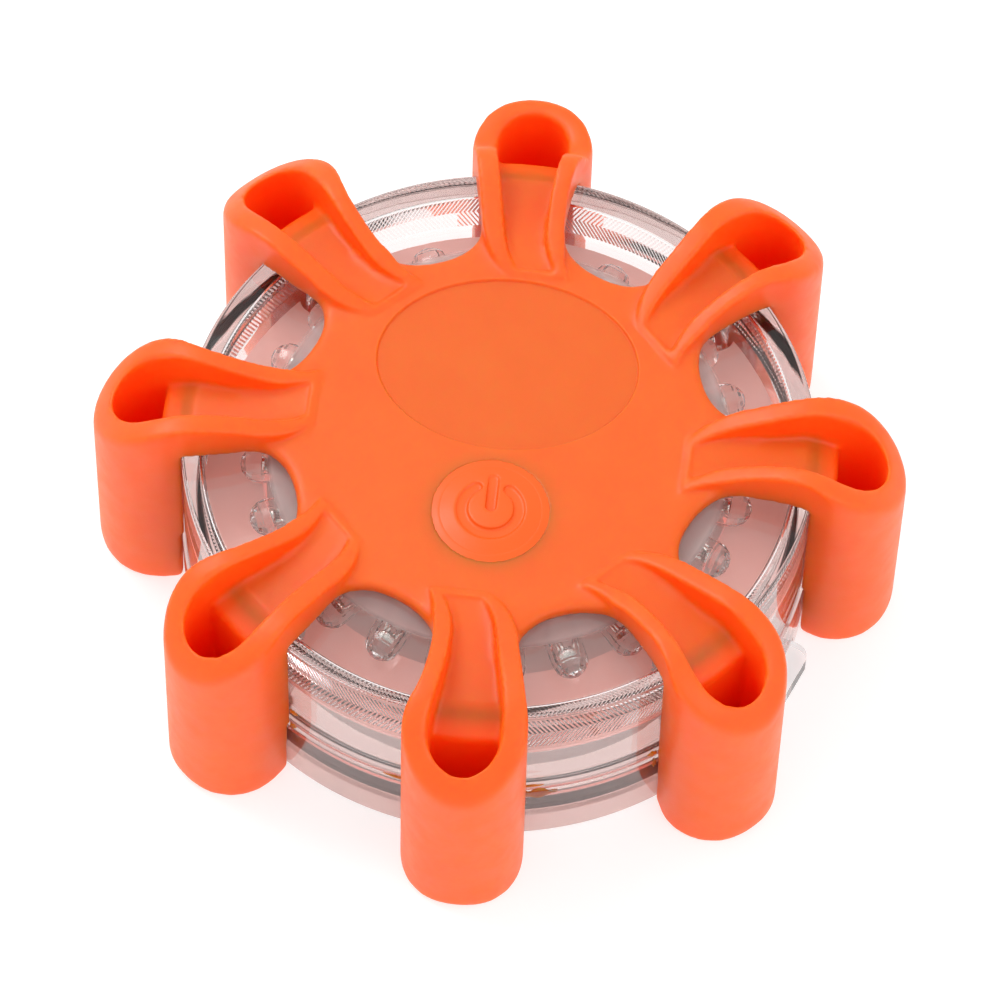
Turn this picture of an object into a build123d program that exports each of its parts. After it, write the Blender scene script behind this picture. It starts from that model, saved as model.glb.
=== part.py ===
from build123d import *
import math
import os

# A hand-sized LED safety flare: a clear drum full of LEDs in a rubber bumper shell with eight arms.
# Millimetres. The origin is at the middle of the footprint, on the surface that the feet stand on,
# +Z is up and -Y is the side with the power button.

# Bumper shell
ARM_COUNT = 8
ARM_STEP = 360 / ARM_COUNT
FRONT_ANGLE = -90
BACK_ANGLE = 90
TIP_REACH = 53.0
TIP_RADIUS = 8.0
TIP_CENTRE = TIP_REACH - TIP_RADIUS
PLATE_TOP = 32.3
PLATE_REACH = 27.6
CREST_START = 23.6
FOOT_ROUND = 2.4
FOOT_ROUND_SLACK = 0.5
CREST_OVERHANG = 0.5
LOOP_PROUD = 0.4
ARM_BLANK_HEIGHT = 40.0
WALL_START = 32.0
WALL_START_LEFT = 5.55
WALL_START_RIGHT = -5.4
POCKET_START = 44.0
POCKET_HALF_WIDTH = 4.6
POCKET_CENTRE = 45.7
POCKET_FLOOR = 4.0
CHANNEL_START = 25.4
CHANNEL_RAMP_START = 39.6
CHANNEL_RAMP_TOP = 31.5
CHANNEL_END_HEIGHT = 29.7
CHANNEL_LIP_ROUND = 0.9
CHANNEL_RISE = 0.05
OVAL_CENTRE_Y = 10.5
OVAL_HALF_LENGTH = 17.05
OVAL_HALF_WIDTH = 12.95
OVAL_DEPTH = 0.3
CUT_HEIGHT = 5.0

# Power button
BUTTON_Y = -11.9
BUTTON_RADIUS = 7.3
BUTTON_GAP = 0.12
BUTTON_SKIRT_BOTTOM = 31.3
BUTTON_EDGE_TOP = 32.3
BUTTON_CROWN_TOP = 33.2
BUTTON_CROWN_DROP = 0.22
SYMBOL_FLOOR = 32.55
SYMBOL_RADIUS = 3.7
SYMBOL_STROKE = 1.5
SYMBOL_BAR_WIDTH = 1.4
SYMBOL_GAP_ANGLE = 35
SYMBOL_BAR_BOTTOM = -0.5
SYMBOL_BAR_TOP = 5.2
PUSHER_FLANGE_RADIUS = 5.0
PUSHER_FLANGE_FIT = 0.05
PUSHER_FLANGE_THICKNESS = 0.6
PUSHER_RADIUS = 2.0
PUSHER_HOLE_RADIUS = 2.5
PUSHER_BOTTOM = 25.75

# Clear drum
SKIN_GAP = 0.1
LENS_RADIUS = 41.2
LENS_WALL = 2.3
LENS_TOP = 30.35
LENS_ROOF = 2.25
LENS_SKIRT_BOTTOM = 7.9
LENS_SKIRT_INNER = 38.0
LENS_SKIRT_OUTER = 39.4
LENS_EDGE_CHAMFER = 0.4
SKIRT_SHOULDER = 1.0
FLANGE_RADIUS = 41.5
FLANGE_TOP = 11.0
BOSS_COUNT = 4
BOSS_FIRST_ANGLE = 45
BOSS_CIRCLE = 36.3
BOSS_RADIUS = 3.0
BOSS_BOTTOM = 8.2
SCREW_RADIUS = 1.1
SCREW_FIT = 0.05
SCREW_HOLE_TOP = 17.0

# Base, gasket, screws and magnet
BASE_BOTTOM = 0.4
BASE_TOP = 4.8
SPIGOT_TOP = 7.5
SPIGOT_RADIUS = 37.6
SPIGOT_WALL = 1.4
GASKET_INNER = 37.7
SCREW_HEAD_RADIUS = 2.2
SCREW_HEAD_TOP = 2.3
SCREW_HEAD_BOTTOM = 0.8
SCREW_TIP = 15.5
SCREW_CLEARANCE = 0.2
SCREW_CROSS_LENGTH = 2.4
SCREW_CROSS_WIDTH = 0.6
MAGNET_CUP_RADIUS = 11.0
MAGNET_CUP_WALL = 1.4
MAGNET_CUP_BOTTOM = 0.6
MAGNET_CUP_TOP = 3.7
MAGNET_CUP_ROOF = 0.7
MAGNET_RADIUS = 9.0

# Fold-out hanging hook, stowed in the underside between two arms
HOOK_ANGLE = -22.5
HOOK_PIN_REACH = 15.5
HOOK_PIN_HEIGHT = 2.0
HOOK_PIN_RADIUS = 0.6
HOOK_PIN_FIT = 0.05
HOOK_PIN_SEAT_FIT = 0.02
HOOK_END_GAP = 0.3
HOOK_PIN_HALF_LENGTH = 8.4
HOOK_THICKNESS = 2.4
HOOK_REACH = 44.0
HOOK_HALF_WIDTH = 6.0
HOOK_CORNER = 2.0
HOOK_SLOT_START = 21.0
HOOK_SLOT_END = 39.0
HOOK_SLOT_HALF_WIDTH = 3.6
HOOK_MOUTH_START = 24.0
HOOK_MOUTH_END = 28.5
HOOK_SIDE_GAP = 0.4
HOOK_POCKET_TOP = 3.6

# Battery tray and three AAA cells
TRAY_RADIUS = 33.0
TRAY_WALL = 1.2
TRAY_BOTTOM = 5.1
TRAY_ROOF_BOTTOM = 17.1
TRAY_ROOF_TOP = 18.1
CELL_COUNT = 3
CELL_RADIUS = 5.25
CELL_LENGTH = 43.6
CELL_PITCH = 11.6
CELL_HEIGHT = 11.6
CELL_CAP_RADIUS = 1.9
CELL_CAP_LENGTH = 0.9
DIVIDER_THICKNESS = 0.6
DIVIDER_LENGTH = 36.0
CONTACT_Y = 26.2
CONTACT_THICKNESS = 0.4
CONTACT_HALF_WIDTH = 16.5
CONTACT_BOTTOM = 7.0
CONTACT_TOP = 17.0
SPRING_RADIUS = 2.6
SPRING_WIRE_RADIUS = 0.3
SPRING_TURNS = 3
PIN_RADIUS = 0.6
PIN_HOLE_RADIUS = 0.8

# Circuit board and what it carries
BOARD_RADIUS = 29.8
BOARD_BOTTOM = 18.6
BOARD_TOP = 20.2
BOARD_SCREW_X = 20.3
BOARD_SCREW_Y = 4.5
BOARD_SCREW_RADIUS = 0.95
BOARD_SCREW_HEAD_RADIUS = 1.9
BOARD_SCREW_HEAD_HEIGHT = 1.3
BOARD_SCREW_TIP = 14.0
BOARD_HOLE_CLEARANCE = 0.15
BOARD_BOSS_RADIUS = 2.4
BOARD_BOSS_BOTTOM = 12.0
LED_COUNT = 24
LED_STEP = 360 / LED_COUNT
LED_RADIUS = 2.4
LED_HEIGHT = 24.6
LED_BACK = 25.5
LED_RIM_RADIUS = 2.8
LED_RIM_LENGTH = 1.0
LED_TIP = 33.6
LEAD_WIDTH = 0.5
LEAD_REACH = 24.4
LEAD_OFFSET = 1.27
SWITCH_SIZE = 6.0
SWITCH_HEIGHT = 3.5
SWITCH_CORNER = 0.5
PLUNGER_RADIUS = 1.7
PLUNGER_FIT = 0.08
PLUNGER_TOP = 25.2
PLUNGER_BOTTOM = 22.9
PLUNGER_BORE_BOTTOM = 22.5
CHIP_X = 7.0
CHIP_Y = 5.0
CHIP_LENGTH = 5.0
CHIP_WIDTH = 4.0
CHIP_HEIGHT = 1.5
CHIP_STAND_OFF = 0.15
CHIP_LEG_ROWS = 2
CHIP_LEGS_PER_ROW = 4
CHIP_LEG_PITCH = 1.27
CHIP_LEG_WIDTH = 0.4
CHIP_LEG_LENGTH = 1.2
CHIP_LEG_HEIGHT = 0.5
CHIP_LEG_SPREAD = 4.8
CAPACITOR_X = -8.0
CAPACITOR_Y = 6.0
CAPACITOR_ROUND = 0.4
CAPACITOR_RADIUS = 2.5
CAPACITOR_HEIGHT = 5.4
RESISTOR_Y = 15.0
RESISTOR_PITCH = 3.0
RESISTOR_COLUMNS = 4
RESISTOR_ROWS = 2
RESISTOR_LENGTH = 1.6
RESISTOR_WIDTH = 0.8
RESISTOR_HEIGHT = 0.5

# Reflector ring under the LEDs
REFLECTOR_INNER = 30.3
REFLECTOR_OUTER = 38.2
REFLECTOR_INNER_TOP = 21.4
REFLECTOR_OUTER_TOP = 19.0
REFLECTOR_THICKNESS = 0.8
REFLECTOR_CORNER_DROP = 0.25
REFLECTOR_BOSS_GAP = 0.3

os.makedirs("parts", exist_ok=True)


def turned(radius, angle):
    """The plan position at a radius and an angle about the Z axis."""
    return (radius * math.cos(math.radians(angle)), radius * math.sin(math.radians(angle)))


def spin(points, angle):
    """Plan points turned about the Z axis."""
    c = math.cos(math.radians(angle))
    s = math.sin(math.radians(angle))
    return [(x * c - y * s, x * s + y * c) for x, y in points]


def save(part, name):
    """Labels a finished piece and writes it to its own STEP file."""
    part.label = name
    export_step(part, f"parts/{name}.step")


# Plan of one arm along +X. Both walls lean a little to one side, as the real loops do.
LEFT_WALL = [(WALL_START, WALL_START_LEFT), (36.0, 6.35), (41.0, 7.35), (TIP_CENTRE, TIP_RADIUS)]
LEFT_LEAN = [(1, 0.16), (1, 0)]
RIGHT_WALL = [
    (TIP_CENTRE, -TIP_RADIUS), (41.0, -6.75), (36.0, -5.65), (WALL_START, WALL_START_RIGHT),
]
RIGHT_LEAN = [(-1, 0), (-1, 0)]

# Height of the arms' tops against the distance from the middle. The back arm's ribs stop short of its
# tip, which stays low and flat.
CREST_RISE = [(CREST_START, PLATE_TOP), (25.5, 32.95), (28.0, 33.7), (35.0, 35.75)]
CREST = CREST_RISE + [
    (41.5, 36.6), (46.0, 35.1), (49.5, 32.5), (52.0, 29.7), (TIP_REACH + CREST_OVERHANG, 27.3),
]
BACK_CREST = CREST_RISE + [
    (40.6, 36.5), (42.0, 35.7), (43.3, 33.6), (44.8, 32.1), (48.0, 31.7),
    (TIP_REACH + CREST_OVERHANG, 31.3),
]


def draw_arm_wall(angle):
    """Adds one arm's outer wall, from its left side round the tip to its right side."""
    Spline(*spin(LEFT_WALL, angle), tangents=spin(LEFT_LEAN, angle))
    ThreePointArc(*spin([LEFT_WALL[-1], (TIP_REACH, 0), RIGHT_WALL[0]], angle))
    Spline(*spin(RIGHT_WALL, angle), tangents=spin(RIGHT_LEAN, angle))


def draw_loop(angle):
    """Adds the plan of one arm's raised loop, a little proud of the arm's walls where it meets them."""
    start = [
        (24.2, 0.8), (26.1, 3.2), (28.8, 4.75), (30.5, 5.3), (WALL_START, WALL_START_LEFT + LOOP_PROUD),
    ]
    finish = [
        (WALL_START, WALL_START_RIGHT - LOOP_PROUD), (30.5, -5.7), (27.7, -5.75), (24.2, -6.6),
    ]
    left = Spline(*spin(start, angle))
    right = Spline(*spin(finish, angle))
    Polyline(left @ 1, *spin([(36, 7), (36, -7)], angle), right @ 0)
    Line(right @ 1, left @ 0)


def draw_window_edge(angle):
    """Adds the edge of the window between two arms, from one arm's left wall to the next one's right."""
    middle = spin([(PLATE_REACH, 0)], ARM_STEP / 2)
    along = spin([(0, 1)], ARM_STEP / 2)
    near = [LEFT_WALL[0], (29.6, 5.7), (27.3, 7.4)] + middle
    far = middle + spin([(27.2, -7.85), (29.2, -6.05), RIGHT_WALL[-1]], ARM_STEP)
    Spline(*spin(near, angle), tangents=spin([(-1, -0.16)] + along, angle))
    Spline(*spin(far, angle), tangents=spin(along + spin([(1, 0)], ARM_STEP), angle))


# The channel along the top of an arm and the pocket in its tip, as the space to be taken away.
with BuildPart() as channel_cut:
    with BuildSketch(Plane.XY.offset(POCKET_FLOOR)):
        with BuildLine():
            left = Spline(
                (24.9, 0.3), (28.5, 2.0), (33.0, 2.9), (38.3, 3.9), (POCKET_CENTRE, POCKET_HALF_WIDTH),
                tangents=[(1, 0.7), (1, 0)],
            )
            end = ThreePointArc(
                left @ 1, (POCKET_CENTRE + POCKET_HALF_WIDTH, 0), (POCKET_CENTRE, -POCKET_HALF_WIDTH)
            )
            right = Spline(
                end @ 1, (38.3, -3.6), (33.0, -3.1), (28.5, -3.4), (24.9, -4.9),
                tangents=[(-1, 0), (-1, -0.5)],
            )
            Line(right @ 1, left @ 0)
        make_face()
    extrude(amount=ARM_BLANK_HEIGHT)
    with BuildSketch(Plane.XZ):
        with BuildLine():
            lip = POCKET_START - CHANNEL_LIP_ROUND
            Polyline(
                (POCKET_START, CHANNEL_END_HEIGHT - CHANNEL_LIP_ROUND), (POCKET_START, 0), (0, 0),
                (0, PLATE_TOP + CHANNEL_RISE), (CHANNEL_START, PLATE_TOP + CHANNEL_RISE),
                (CHANNEL_RAMP_START, CHANNEL_RAMP_TOP), (lip, CHANNEL_END_HEIGHT),
            )
            RadiusArc(
                (lip, CHANNEL_END_HEIGHT), (POCKET_START, CHANNEL_END_HEIGHT - CHANNEL_LIP_ROUND),
                CHANNEL_LIP_ROUND,
            )
        make_face()
    revolve(axis=Axis.Z, mode=Mode.SUBTRACT)

# The space that the shell may fill, below the crests and above the ground.
with BuildPart() as shell_envelope:
    for crest_points, start_angle, arc in (
        (CREST, BACK_ANGLE + ARM_STEP / 2, 360 - ARM_STEP),
        (BACK_CREST, BACK_ANGLE - ARM_STEP / 2, ARM_STEP),
    ):
        outward, aside = turned(1, start_angle), turned(1, start_angle - 90)
        with BuildSketch(Plane((0, 0, 0), x_dir=(*outward, 0), z_dir=(*aside, 0))):
            with BuildLine():
                crest = Spline(*crest_points)
                heel = Line(crest @ 1, (TIP_REACH + CREST_OVERHANG, FOOT_ROUND))
                sole = RadiusArc(heel @ 1, (TIP_REACH - FOOT_ROUND, 0), FOOT_ROUND + FOOT_ROUND_SLACK)
                Polyline(sole @ 1, (0, 0), (0, PLATE_TOP), crest @ 0)
            make_face()
        revolve(axis=Axis.Z, revolution_arc=arc)

# The bumper shell: a plate over the drum, and eight looped arms that drop outside it to the feet.
with BuildPart() as bumper_shell:
    with BuildSketch():
        with BuildLine():
            for k in range(ARM_COUNT):
                draw_arm_wall(FRONT_ANGLE + k * ARM_STEP)
                draw_window_edge(FRONT_ANGLE + k * ARM_STEP)
        make_face()
    extrude(amount=ARM_BLANK_HEIGHT)
    add(shell_envelope.part, mode=Mode.INTERSECT)
    with BuildSketch():
        Circle(FLANGE_RADIUS + SKIN_GAP)
    extrude(amount=FLANGE_TOP + SKIN_GAP, mode=Mode.SUBTRACT)
    with BuildSketch(Plane.XY.offset(FLANGE_TOP)):
        Circle(LENS_RADIUS + SKIN_GAP)
    extrude(amount=LENS_TOP + SKIN_GAP - FLANGE_TOP, mode=Mode.SUBTRACT)
    with PolarLocations(0, ARM_COUNT, start_angle=FRONT_ANGLE):
        add(channel_cut.part, mode=Mode.SUBTRACT)
    with BuildSketch(Plane.XY.offset(PLATE_TOP)):
        Circle(WALL_START)
        for k in range(ARM_COUNT):
            with BuildLine():
                draw_loop(FRONT_ANGLE + k * ARM_STEP)
            make_face(mode=Mode.SUBTRACT)
    extrude(amount=CUT_HEIGHT, mode=Mode.SUBTRACT)
    with BuildSketch(Plane.XY.offset(PLATE_TOP - OVAL_DEPTH)):
        with Locations((0, OVAL_CENTRE_Y)):
            Ellipse(OVAL_HALF_LENGTH, OVAL_HALF_WIDTH)
    extrude(amount=CUT_HEIGHT, mode=Mode.SUBTRACT)
    with BuildSketch(Plane.XY.offset(LENS_TOP)):
        with Locations((0, BUTTON_Y)):
            Circle(BUTTON_RADIUS + BUTTON_GAP)
    extrude(amount=CUT_HEIGHT, mode=Mode.SUBTRACT)
save(bumper_shell.part, "bumper_shell")

# The rubber pad over the power switch, with a plain power symbol sunk in its crown.
with BuildPart() as button_pad:
    with BuildSketch(Plane.XZ.offset(-BUTTON_Y)):
        with BuildLine():
            crown = ThreePointArc(
                (0, BUTTON_CROWN_TOP), (BUTTON_RADIUS / 2, BUTTON_CROWN_TOP - BUTTON_CROWN_DROP),
                (BUTTON_RADIUS, BUTTON_EDGE_TOP),
            )
            Polyline(
                crown @ 1, (BUTTON_RADIUS, BUTTON_SKIRT_BOTTOM), (PUSHER_FLANGE_RADIUS, BUTTON_SKIRT_BOTTOM),
                (PUSHER_FLANGE_RADIUS, BUTTON_SKIRT_BOTTOM + PUSHER_FLANGE_THICKNESS),
                (0, BUTTON_SKIRT_BOTTOM + PUSHER_FLANGE_THICKNESS), crown @ 0,
            )
        make_face()
    revolve(axis=Axis((0, BUTTON_Y, 0), (0, 0, 1)))
    with BuildSketch(Plane((0, BUTTON_Y, SYMBOL_FLOOR))):
        with BuildLine():
            ring = CenterArc((0, 0), SYMBOL_RADIUS, 90 + SYMBOL_GAP_ANGLE, 360 - 2 * SYMBOL_GAP_ANGLE)
        SlotArc(ring, SYMBOL_STROKE)
        with Locations((0, (SYMBOL_BAR_TOP + SYMBOL_BAR_BOTTOM) / 2)):
            SlotOverall(SYMBOL_BAR_TOP - SYMBOL_BAR_BOTTOM, SYMBOL_BAR_WIDTH, rotation=90)
    extrude(amount=CUT_HEIGHT, mode=Mode.SUBTRACT)
save(button_pad.part, "button_pad")

# The hard post under the pad, which reaches through the drum's roof to the switch.
with BuildPart() as button_pusher:
    with BuildSketch(Plane((0, BUTTON_Y, BUTTON_SKIRT_BOTTOM))):
        Circle(PUSHER_FLANGE_RADIUS - PUSHER_FLANGE_FIT)
    extrude(amount=PUSHER_FLANGE_THICKNESS)
    with BuildSketch(Plane((0, BUTTON_Y, PUSHER_BOTTOM))):
        Circle(PUSHER_RADIUS)
    extrude(amount=BUTTON_SKIRT_BOTTOM - PUSHER_BOTTOM)
save(button_pusher.part, "button_pusher")

# The clear drum: a roof and a wall in one, with four screw bosses hanging inside.
BOSS_SPOTS = [turned(BOSS_CIRCLE, BOSS_FIRST_ANGLE + k * 360 / BOSS_COUNT) for k in range(BOSS_COUNT)]
with BuildPart() as lens_drum:
    with BuildSketch(Plane.XZ):
        with BuildLine():
            inner = LENS_RADIUS - LENS_WALL
            Polyline(
                (0, LENS_TOP - LENS_ROOF), (inner, LENS_TOP - LENS_ROOF),
                (inner, FLANGE_TOP + SKIRT_SHOULDER), (LENS_SKIRT_INNER, FLANGE_TOP),
                (LENS_SKIRT_INNER, LENS_SKIRT_BOTTOM), (LENS_SKIRT_OUTER, LENS_SKIRT_BOTTOM),
                (LENS_SKIRT_OUTER, FLANGE_TOP), (LENS_RADIUS, FLANGE_TOP),
                (LENS_RADIUS, LENS_TOP - LENS_EDGE_CHAMFER), (LENS_RADIUS - LENS_EDGE_CHAMFER, LENS_TOP),
                (0, LENS_TOP), close=True,
            )
        make_face()
    revolve(axis=Axis.Z)
    with BuildSketch(Plane.XY.offset(BOSS_BOTTOM)):
        with Locations(*BOSS_SPOTS):
            Circle(BOSS_RADIUS)
    extrude(amount=LENS_TOP - LENS_ROOF / 2 - BOSS_BOTTOM)
    with BuildSketch(Plane.XY.offset(BOSS_BOTTOM)):
        with Locations(*BOSS_SPOTS):
            Circle(SCREW_RADIUS + SCREW_FIT)
    extrude(amount=SCREW_HOLE_TOP - BOSS_BOTTOM, mode=Mode.SUBTRACT)
    with BuildSketch(Plane((0, BUTTON_Y, LENS_TOP - LENS_ROOF))):
        Circle(PUSHER_HOLE_RADIUS)
    extrude(amount=LENS_ROOF, mode=Mode.SUBTRACT)
save(lens_drum.part, "lens_drum")

# The soft ring that seals the drum against the base.
with BuildPart() as gasket_ring:
    with BuildSketch(Plane.XY.offset(BASE_TOP)):
        Circle(LENS_SKIRT_OUTER)
        Circle(GASKET_INNER, mode=Mode.SUBTRACT)
    extrude(amount=LENS_SKIRT_BOTTOM - BASE_TOP)
save(gasket_ring.part, "gasket_ring")

# The clear base: a shallow cup with a spigot inside, a pocket for the magnet and a slot for the hook.
hook_floor = Plane((0, 0, 0), x_dir=(*turned(1, HOOK_ANGLE), 0), z_dir=(0, 0, 1))
with BuildPart() as base_cover:
    with BuildSketch(Plane.XY.offset(BASE_BOTTOM)):
        Circle(FLANGE_RADIUS)
    extrude(amount=BASE_TOP - BASE_BOTTOM)
    with BuildSketch(Plane.XY.offset(BASE_TOP)):
        Circle(SPIGOT_RADIUS)
        Circle(SPIGOT_RADIUS - SPIGOT_WALL, mode=Mode.SUBTRACT)
    extrude(amount=SPIGOT_TOP - BASE_TOP)
    with BuildSketch(Plane.XY.offset(BASE_TOP)):
        Circle(FLANGE_RADIUS)
        Circle(LENS_SKIRT_OUTER + SKIN_GAP, mode=Mode.SUBTRACT)
    extrude(amount=FLANGE_TOP - SKIN_GAP - BASE_TOP)
    with BuildSketch(Plane.XY.offset(BASE_BOTTOM)):
        Circle(MAGNET_CUP_RADIUS + SKIN_GAP)
    extrude(amount=MAGNET_CUP_TOP + SKIN_GAP - BASE_BOTTOM, mode=Mode.SUBTRACT)
    with BuildSketch(hook_floor.offset(BASE_BOTTOM)):
        pocket_start = HOOK_PIN_REACH - HOOK_THICKNESS / 2 - HOOK_END_GAP
        pocket_length = FLANGE_RADIUS + 2 * SKIN_GAP - pocket_start
        with Locations((pocket_start + pocket_length / 2, 0)):
            Rectangle(pocket_length, 2 * (HOOK_HALF_WIDTH + HOOK_SIDE_GAP))
    extrude(amount=HOOK_POCKET_TOP - BASE_BOTTOM, mode=Mode.SUBTRACT)
    with BuildSketch(Plane.XY.offset(BASE_BOTTOM)):
        with Locations(*BOSS_SPOTS):
            Circle(SCREW_HEAD_RADIUS + SCREW_CLEARANCE)
    extrude(amount=SCREW_HEAD_TOP - BASE_BOTTOM, mode=Mode.SUBTRACT)
    with BuildSketch(Plane.XY.offset(BASE_BOTTOM)):
        with Locations(*BOSS_SPOTS):
            Circle(SCREW_RADIUS + SCREW_CLEARANCE)
    extrude(amount=SPIGOT_TOP - BASE_BOTTOM, mode=Mode.SUBTRACT)
    pin_end = turned(HOOK_PIN_REACH, HOOK_ANGLE)
    pin_plane = Plane((*pin_end, HOOK_PIN_HEIGHT), z_dir=(*turned(1, HOOK_ANGLE + 90), 0))
    with BuildSketch(pin_plane):
        Circle(HOOK_PIN_RADIUS + HOOK_PIN_SEAT_FIT)
    extrude(amount=HOOK_PIN_HALF_LENGTH, both=True, mode=Mode.SUBTRACT)
save(base_cover.part, "base_cover")

# The pin that the hook turns on, held at both ends in the base.
with BuildPart() as hook_pin:
    with BuildSketch(pin_plane):
        Circle(HOOK_PIN_RADIUS)
    extrude(amount=HOOK_PIN_HALF_LENGTH, both=True)
save(hook_pin.part, "hook_pin")

# The clear hanging hook: a flat loop with an open mouth at one side and a finger tab at its end.
with BuildPart() as hanging_hook:
    with BuildSketch(hook_floor.offset(HOOK_PIN_HEIGHT - HOOK_THICKNESS / 2)) as hook_plan:
        with Locations(((HOOK_PIN_REACH + HOOK_REACH) / 2, 0)):
            Rectangle(HOOK_REACH - HOOK_PIN_REACH, 2 * HOOK_HALF_WIDTH)
        fillet(hook_plan.vertices().sort_by_distance(turned(HOOK_REACH, HOOK_ANGLE))[:2], HOOK_CORNER)
        slot_length = HOOK_SLOT_END - HOOK_SLOT_START
        with Locations((HOOK_SLOT_START + slot_length / 2, 0)):
            SlotOverall(slot_length, 2 * HOOK_SLOT_HALF_WIDTH, mode=Mode.SUBTRACT)
        with Locations(((HOOK_MOUTH_START + HOOK_MOUTH_END) / 2, -HOOK_HALF_WIDTH)):
            Rectangle(HOOK_MOUTH_END - HOOK_MOUTH_START, HOOK_HALF_WIDTH, mode=Mode.SUBTRACT)
    extrude(amount=HOOK_THICKNESS)
    with BuildSketch(pin_plane):
        Circle(HOOK_THICKNESS / 2)
    extrude(amount=HOOK_HALF_WIDTH, both=True)
    with BuildSketch(pin_plane):
        Circle(HOOK_PIN_RADIUS + HOOK_PIN_FIT)
    extrude(amount=HOOK_HALF_WIDTH, both=True, mode=Mode.SUBTRACT)
save(hanging_hook.part, "hanging_hook")

# Four screws that hold the base to the drum's bosses.
with BuildPart() as cover_screws:
    with BuildSketch(Plane.XY.offset(SCREW_HEAD_BOTTOM)):
        with Locations(*BOSS_SPOTS):
            Circle(SCREW_HEAD_RADIUS)
            Rectangle(SCREW_CROSS_LENGTH, SCREW_CROSS_WIDTH, mode=Mode.SUBTRACT)
            Rectangle(SCREW_CROSS_WIDTH, SCREW_CROSS_LENGTH, mode=Mode.SUBTRACT)
    extrude(amount=(SCREW_HEAD_TOP - SCREW_HEAD_BOTTOM) / 2)
    with BuildSketch(Plane.XY.offset((SCREW_HEAD_TOP + SCREW_HEAD_BOTTOM) / 2)):
        with Locations(*BOSS_SPOTS):
            Circle(SCREW_HEAD_RADIUS)
    extrude(amount=(SCREW_HEAD_TOP - SCREW_HEAD_BOTTOM) / 2)
    with BuildSketch(Plane.XY.offset(SCREW_HEAD_TOP)):
        with Locations(*BOSS_SPOTS):
            Circle(SCREW_RADIUS)
    extrude(amount=SCREW_TIP - SCREW_HEAD_TOP)
save(cover_screws.part, "cover_screws")

# The steel cup and the magnet in it.
with BuildPart() as magnet_cup:
    with BuildSketch(Plane.XY.offset(MAGNET_CUP_BOTTOM)):
        Circle(MAGNET_CUP_RADIUS)
    extrude(amount=MAGNET_CUP_TOP - MAGNET_CUP_BOTTOM)
    with BuildSketch(Plane.XY.offset(MAGNET_CUP_BOTTOM)):
        Circle(MAGNET_CUP_RADIUS - MAGNET_CUP_WALL)
    extrude(amount=MAGNET_CUP_TOP - MAGNET_CUP_ROOF - MAGNET_CUP_BOTTOM, mode=Mode.SUBTRACT)
save(magnet_cup.part, "magnet_cup")

with BuildPart() as magnet:
    with BuildSketch(Plane.XY.offset(MAGNET_CUP_BOTTOM)):
        Circle(MAGNET_RADIUS)
    extrude(amount=MAGNET_CUP_TOP - MAGNET_CUP_ROOF - MAGNET_CUP_BOTTOM)
save(magnet.part, "magnet")

# The battery tray: an upturned cup over the cells, with dividers, posts for the board and pin holes.
CELL_LANES = [(k - 1) * CELL_PITCH for k in range(CELL_COUNT)]
BOARD_SCREW_SPOTS = [(x, y) for x in (-BOARD_SCREW_X, BOARD_SCREW_X) for y in (-BOARD_SCREW_Y, BOARD_SCREW_Y)]
PIN_SPOTS = [(-CELL_PITCH, CONTACT_Y), (CELL_PITCH, CONTACT_Y)]
with BuildPart() as battery_tray:
    with BuildSketch(Plane.XY.offset(TRAY_BOTTOM)):
        Circle(TRAY_RADIUS)
    extrude(amount=TRAY_ROOF_TOP - TRAY_BOTTOM)
    with BuildSketch(Plane.XY.offset(TRAY_BOTTOM)):
        Circle(TRAY_RADIUS - TRAY_WALL)
    extrude(amount=TRAY_ROOF_BOTTOM - TRAY_BOTTOM, mode=Mode.SUBTRACT)
    with BuildSketch(Plane.XY.offset(CELL_HEIGHT)):
        with Locations((-CELL_PITCH / 2, 0), (CELL_PITCH / 2, 0)):
            Rectangle(DIVIDER_THICKNESS, DIVIDER_LENGTH)
    extrude(amount=TRAY_ROOF_BOTTOM - CELL_HEIGHT)
    with BuildSketch(Plane.XY.offset(BOARD_BOSS_BOTTOM)):
        with Locations(*BOARD_SCREW_SPOTS):
            Circle(BOARD_BOSS_RADIUS)
    extrude(amount=BOARD_BOTTOM - BOARD_BOSS_BOTTOM)
    with BuildSketch(Plane.XY.offset(BOARD_BOSS_BOTTOM)):
        with Locations(*BOARD_SCREW_SPOTS):
            Circle(BOARD_SCREW_RADIUS + SCREW_FIT)
    extrude(amount=BOARD_BOTTOM - BOARD_BOSS_BOTTOM, mode=Mode.SUBTRACT)
    with BuildSketch(Plane.XY.offset(TRAY_ROOF_BOTTOM)):
        with Locations(*PIN_SPOTS):
            Circle(PIN_HOLE_RADIUS)
    extrude(amount=TRAY_ROOF_TOP - TRAY_ROOF_BOTTOM, mode=Mode.SUBTRACT)
save(battery_tray.part, "battery_tray")

# Three AAA cells side by side, each turned end for end from its neighbour.
with BuildPart() as battery_cells:
    with BuildSketch(Plane.XZ.offset(-CELL_LENGTH / 2)):
        with Locations(*[(x, CELL_HEIGHT) for x in CELL_LANES]):
            Circle(CELL_RADIUS)
    extrude(amount=CELL_LENGTH)
save(battery_cells.part, "battery_cells")

with BuildPart() as cell_caps:
    for k, x in enumerate(CELL_LANES):
        side = 1 if k % 2 == 0 else -1
        with BuildSketch(Plane((x, side * CELL_LENGTH / 2, CELL_HEIGHT), z_dir=(0, side, 0))):
            Circle(CELL_CAP_RADIUS)
        extrude(amount=CELL_CAP_LENGTH)
save(cell_caps.part, "cell_caps")

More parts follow.
